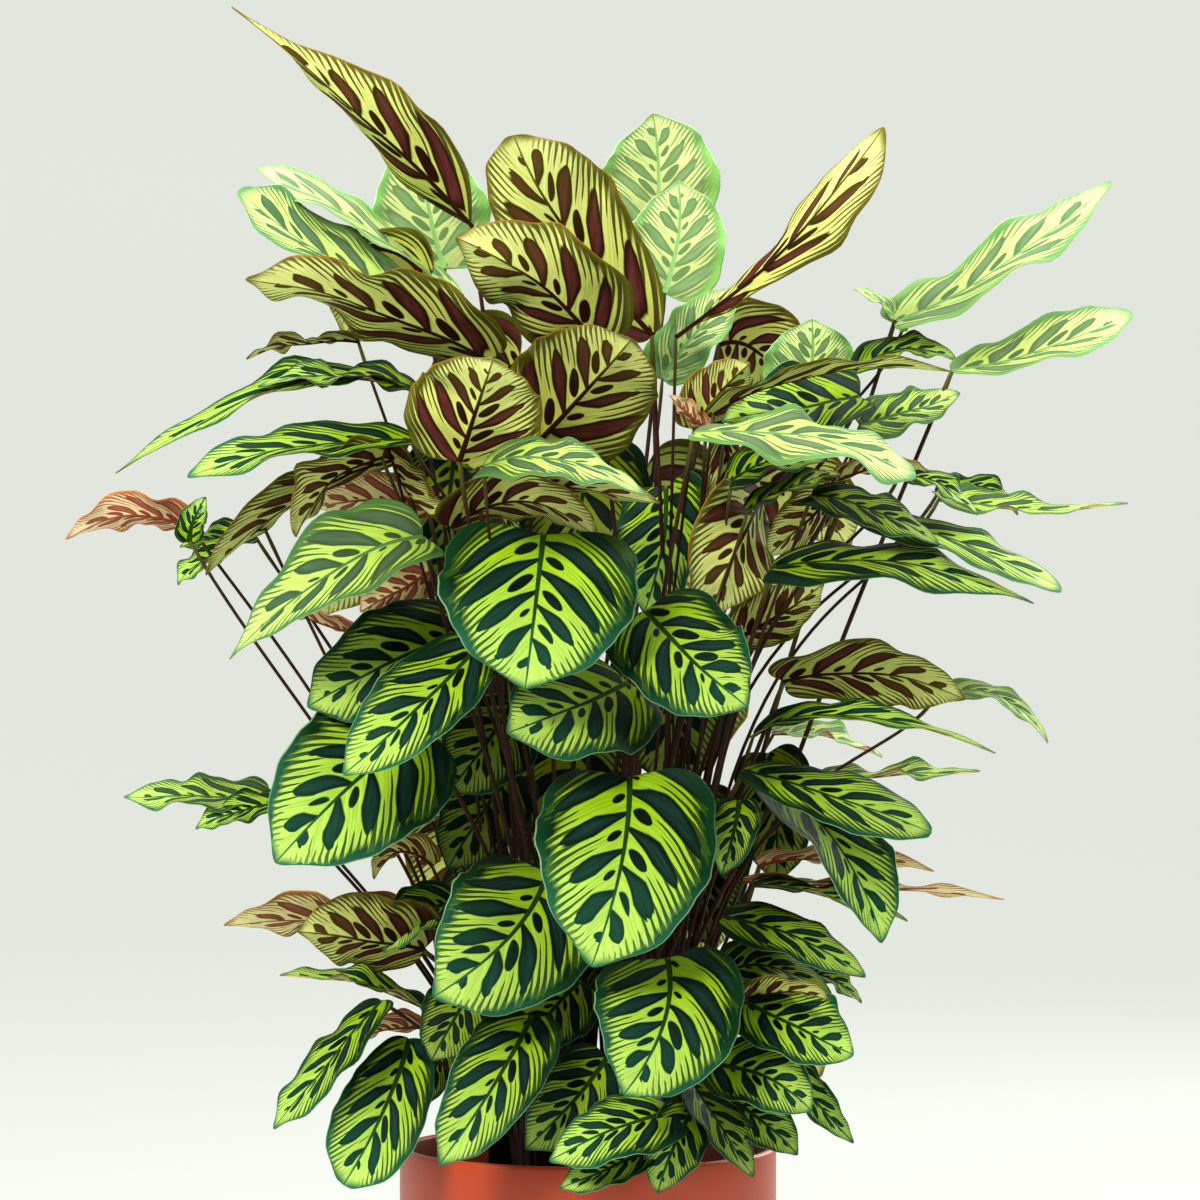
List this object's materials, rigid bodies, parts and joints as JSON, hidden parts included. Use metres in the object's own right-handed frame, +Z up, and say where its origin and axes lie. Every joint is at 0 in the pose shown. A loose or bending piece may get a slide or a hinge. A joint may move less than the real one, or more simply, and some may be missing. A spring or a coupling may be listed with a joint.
{
  "type": "potted calathea",
  "caption": "Bushy calathea with patterned oval leaves on thin upright stalks, growing in a round tapered nursery pot full of soil.",
  "frame": {"origin": "centre of the pot's underside, on the surface that it stands on", "axes": "+Z up along the pot's axis, -Y towards the front view, +X to the right in it"},
  "size_m": [0.5338, 0.3285, 0.7359],
  "materials": {
    "pot": "satin",
    "soil": "matte",
    "stalk": "satin",
    "leaf": "satin"
  },
  "bodies": {
    "root": {"pot": "pot", "soil": "soil", "stalks_1": "stalk", "stalks_2": "stalk", "stalks_3": "stalk", "stalks_4": "stalk", "stalks_5": "stalk", "leaf_upper_left_1": "leaf", "leaf_upper_left_2": "leaf", "leaf_upper_left_3": "leaf", "leaf_upper_left_4": "leaf", "leaf_upper_left_5": "leaf", "leaf_upper_left_6": "leaf", "leaf_mid_left_1": "leaf", "leaf_mid_left_2": "leaf", "leaf_mid_left_3": "leaf", "leaf_mid_left_4": "leaf", "leaf_top_1": "leaf", "leaf_top_2": "leaf", "leaf_top_3": "leaf", "leaf_top_4": "leaf", "leaf_top_5": "leaf", "leaf_top_6": "leaf", "leaf_top_7": "leaf", "leaf_top_8": "leaf", "leaf_front_1": "leaf", "leaf_front_2": "leaf", "leaf_front_3": "leaf", "leaf_front_4": "leaf", "leaf_front_5": "leaf", "leaf_front_6": "leaf", "leaf_front_7": "leaf", "leaf_front_8": "leaf", "leaf_front_9": "leaf", "leaf_front_10": "leaf", "leaf_front_11": "leaf", "leaf_upper_right_1": "leaf", "leaf_upper_right_2": "leaf", "leaf_upper_right_3": "leaf", "leaf_upper_right_4": "leaf", "leaf_upper_right_5": "leaf", "leaf_mid_right_1": "leaf", "leaf_mid_right_2": "leaf", "leaf_mid_right_3": "leaf", "leaf_mid_right_4": "leaf", "leaf_mid_right_5": "leaf", "leaf_mid_right_6": "leaf", "leaf_mid_right_7": "leaf", "leaf_low_1": "leaf", "leaf_low_2": "leaf", "leaf_low_3": "leaf", "leaf_low_right_1": "leaf", "leaf_low_right_2": "leaf", "leaf_low_right_3": "leaf", "leaf_low_left_1": "leaf", "leaf_low_left_2": "leaf", "leaf_low_left_3": "leaf", "leaf_back_1": "leaf", "leaf_back_2": "leaf", "leaf_back_3": "leaf"}
  },
  "joints": []
}
